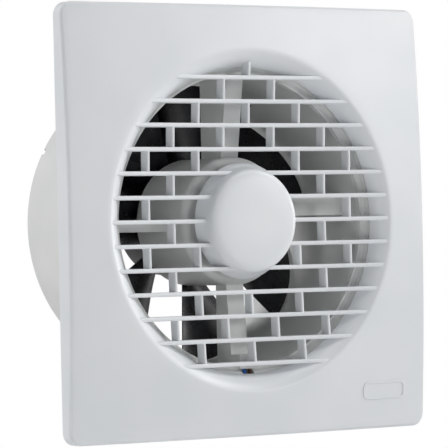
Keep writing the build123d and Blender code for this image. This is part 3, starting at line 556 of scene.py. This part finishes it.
def addLegs(shell):
    # four friction legs behind the plate, with eased tips
    ease = cover["legEase"]
    for quarter in range(4):
        turn = quarter * math.pi / 2

        def leg(inset, depth):
            ring = []
            for sx, sz in ((1, 1), (-1, 1), (-1, -1), (1, -1)):
                x = sx * (cover["legHalfWidth"] - inset)
                z = cover["legOffset"] + sz * (cover["legHalfThick"] - 0.75 * inset)
                ring.append((x * math.cos(turn) - z * math.sin(turn), -depth,
                             x * math.sin(turn) + z * math.cos(turn)))
            return ring
        addRings(shell, [leg(0, cover["legFront"]), leg(0, cover["legRear"] + ease),
                         leg(ease, cover["legRear"])], capEnds=True)


coverShell = {"points": [], "faces": []}
addPlate(coverShell)
addGrille(coverShell)
addBoss(coverShell)
addBadge(coverShell)
addLegs(coverShell)
buildPiece("front_cover_moulding", coverShell, coverWhite, "cover", ["front_cover"])
print("front cover made:", len(coverShell["faces"]), "faces")

# Impeller: seven cambered blades on a capped hub.
fan = {
    "blades": 7, "firstAngle": -45.2, "spanAngle": 46.0, "thickness": 1.5, "tipRadius": 69.6,
    "hubRadius": 26.0, "hubWall": 2.0, "hubFront": 46.6, "hubRear": 70.4, "sleeveRadius": 5.0,
    "sleeveRear": 62.0, "shaftRadius": 1.5, "rootFront": 47.6, "frontSlope": 0.147, "bladeRear": 70.0,
    "bladeRoot": 24.6, "tipEase": 0.35,
    "webAngle": 10, "webHalfThick": 0.7, "webFront": 48.2, "webRear": 57.1,
}


def bladePoint(turn, step, radius, side):
    # a point on the blade skin: step runs from the leading to the trailing edge
    halfSpan = math.radians(fan["spanAngle"] / 2)
    swing = math.atan(math.tan(halfSpan) * (1 - 2 * step))
    # the leading edge is a straight line that leans forwards towards the tip
    front = fan["rootFront"] - (radius * math.cos(swing) - 24) * fan["frontSlope"]
    back = 0.2 * step + 0.8 * step ** 2
    half = fan["thickness"] * (0.3 + 0.8 * step * (1 - step))
    y = front + back * (fan["bladeRear"] - front) + side * half
    angle = math.radians(turn) + halfSpan - swing
    return (radius * math.cos(angle), y, radius * math.sin(angle))


def addBlade(shell, turn):
    steps = [k / 26 for k in range(27)]
    root = fan["bladeRoot"]
    radii = [root + (fan["tipRadius"] - fan["tipEase"] - root) * k / 16 for k in range(17)]
    rings = []
    for radius in radii:
        ring = [bladePoint(turn, s, radius, -1) for s in steps]
        ring += [bladePoint(turn, s, radius, 1) for s in reversed(steps)]
        rings.append(ring)
    # the tip is thinner over its last few tenths
    tip = [bladePoint(turn, s, fan["tipRadius"], -0.6) for s in steps]
    tip += [bladePoint(turn, s, fan["tipRadius"], 0.6) for s in reversed(steps)]
    rings.append(tip)
    addRings(shell, rings)
    # strips close the tip and the root
    count = len(tip)
    last = len(shell["points"]) - count
    for first in (last, last - count * (len(rings) - 1)):
        for i in range(len(steps) - 1):
            shell["faces"].append((first + i, first + i + 1, first + count - 2 - i, first + count - 1 - i))


impellerShell = {"points": [], "faces": []}
for number in range(fan["blades"]):
    addBlade(impellerShell, fan["firstAngle"] + number * 360 / fan["blades"])
addLathe(impellerShell, [
    (fan["shaftRadius"], fan["hubFront"] + 0.6), (fan["shaftRadius"] + 0.2, fan["hubFront"] + 0.4),
    (fan["sleeveRadius"], fan["hubFront"] + 0.4), (fan["hubRadius"] - 2.0, fan["hubFront"]),
    (fan["hubRadius"] - 1.2, fan["hubFront"] + 0.2), (fan["hubRadius"] - 0.4, fan["hubFront"] + 0.8),
    (fan["hubRadius"], fan["hubFront"] + 1.7), (fan["hubRadius"], fan["hubRear"] - 0.3),
    (fan["hubRadius"] - 0.3, fan["hubRear"]), (fan["hubRadius"] - fan["hubWall"] + 0.3, fan["hubRear"]),
    (fan["hubRadius"] - fan["hubWall"], fan["hubRear"] - 0.3),
    (fan["hubRadius"] - fan["hubWall"], fan["hubFront"] + 2.4),
    (fan["sleeveRadius"], fan["hubFront"] + 2.4), (fan["sleeveRadius"], fan["sleeveRear"] - 0.2),
    (fan["sleeveRadius"] - 0.2, fan["sleeveRear"]), (fan["shaftRadius"], fan["sleeveRear"])])
for number in range(fan["blades"]):  # webs inside the hub
    heading = math.radians(fan["webAngle"] + number * 360 / fan["blades"])
    webStart = fan["sleeveRadius"] - 0.4
    webEnd = fan["hubRadius"] - fan["hubWall"] + 0.4

    def web(halfThick, y):
        ring = []
        for radius, side in ((webStart, 1), (webEnd, 1), (webEnd, -1), (webStart, -1)):
            ring.append((radius * math.cos(heading) - side * halfThick * math.sin(heading), y,
                         radius * math.sin(heading) + side * halfThick * math.cos(heading)))
        return ring
    thick = fan["webHalfThick"]
    addRings(impellerShell, [web(thick, fan["webFront"]), web(thick, fan["webRear"] - 0.2),
                             web(thick - 0.2, fan["webRear"])], capEnds=True)
buildPiece("impeller_moulding", impellerShell, impellerBlack, "rotor", ["impeller"])
print("impeller made:", len(impellerShell["faces"]), "faces")

# Pale floor, white surround and soft lights.
studio = {"floorHeight": -0.30, "floorRadius": 2.4, "floorGrainMm": 60, "surround": 1.0, "fill": 0.14}
floorMesh = bpy.data.meshes.new("studio_floor")
rim = [(studio["floorRadius"] * math.cos(math.tau * k / 96),
        studio["floorRadius"] * math.sin(math.tau * k / 96), studio["floorHeight"]) for k in range(96)]
floorMesh.from_pydata(rim, [], [tuple(range(96))])
floor = bpy.data.objects.new("studio_floor", floorMesh)
bpy.context.scene.collection.objects.link(floor)
floorPaint, floorTree, floorShader, floorPlace = newMaterial("pale_floor_paint", "#F2F2F2", 0.6)
floorGrain = addNode(floorTree, "ShaderNodeTexNoise", None,
                     {"Vector": floorPlace, "Scale": 1000 / studio["floorGrainMm"],
                      "Detail": 3.0}).outputs["Fac"]
addNode(floorTree, "ShaderNodeMapRange", None, {"Value": floorGrain, "To Min": 0.55, "To Max": 0.7},
        {"Result": [floorShader.inputs["Roughness"]]})
floorMesh.materials.append(floorPaint)

world = bpy.data.worlds.new("studio_surround")
bpy.context.scene.world = world
world.use_nodes = True
skyTree = world.node_tree
skyTree.nodes.clear()
skyOut = addNode(skyTree, "ShaderNodeOutputWorld")
# the camera sees a white surround, while the fan is lit by a much weaker one
seen = addNode(skyTree, "ShaderNodeBackground", None,
               {"Color": hexToLinear("#FFFFFF"), "Strength": studio["surround"]})
lit = addNode(skyTree, "ShaderNodeBackground", None,
              {"Color": hexToLinear("#F4F6FA"), "Strength": studio["fill"]})
rays = addNode(skyTree, "ShaderNodeLightPath")
addNode(skyTree, "ShaderNodeMixShader", None,
        {"Fac": rays.outputs["Is Camera Ray"], 1: lit.outputs["Background"], 2: seen.outputs["Background"]},
        {"Shader": [skyOut.inputs["Surface"]]})

softLights = {
    "right_side": {"from": (2, -0.45, 0.2), "size": 0.7, "power": 8.8, "colour": "#FFFFFF"},
    "right_high": {"from": (1.7, -0.9, 1.1), "size": 0.7, "power": 12.6, "colour": "#FFFFFF"},
    "left_behind_high": {"from": (-1.2, 0.6, 1.2), "size": 0.8, "power": 19.9, "colour": "#FFFFFF"},
    "left_low": {"from": (-1.4, -1.4, -0.1), "size": 0.6, "power": 2, "colour": "#FFFFFF"},
    "near_high": {"from": (0.15, -0.35, 0.5), "size": 0.3, "power": 0.95, "colour": "#FFFFFF"},
    "near_left": {"from": (-0.55, -0.45, -0.22), "size": 0.3, "power": 0.6, "colour": "#FFFFFF"},
    "right_far": {"from": (2.2, -2.6, 0.6), "size": 0.8, "power": 16.5, "colour": "#FFFFFF"},
}
for name, light in softLights.items():
    lamp = bpy.data.lights.new(name, "AREA")
    lamp.shape = "DISK"
    lamp.size = light["size"]
    lamp.energy = light["power"]
    lamp.color = hexToLinear(light["colour"])[:3]
    holder = bpy.data.objects.new(name, lamp)
    bpy.context.scene.collection.objects.link(holder)
    holder.visible_camera = False
    holder.location = light["from"]
    holder.rotation_euler = (-Vector(light["from"])).to_track_quat("-Z", "Y").to_euler()
bpy.context.scene.view_settings.view_transform = "Standard"
print("studio set")

# The fan is seen from its left, about a third of a turn round, and level with it.
shot = {"azimuth": 34.363, "elevation": -0.464, "roll": -1.374,
        "place": (-0.91077, -1.31812, -0.01435), "lens": 262.8}
heading = math.radians(shot["azimuth"])
rise = math.radians(shot["elevation"])
aim = Vector((math.sin(heading) * math.cos(rise), math.cos(heading) * math.cos(rise), -math.sin(rise)))
cameraData = bpy.data.cameras.new("shot")
cameraData.sensor_width = 36
cameraData.lens = shot["lens"]
cameraData.clip_end = 50
camera = bpy.data.objects.new("shot", cameraData)
bpy.context.scene.collection.objects.link(camera)
camera.location = shot["place"]
camera.rotation_mode = "QUATERNION"
camera.rotation_quaternion = (aim.to_track_quat("-Z", "Y")
                              @ Quaternion((0, 0, 1), math.radians(shot["roll"])))
bpy.context.scene.camera = camera

bpy.context.view_layer.update()
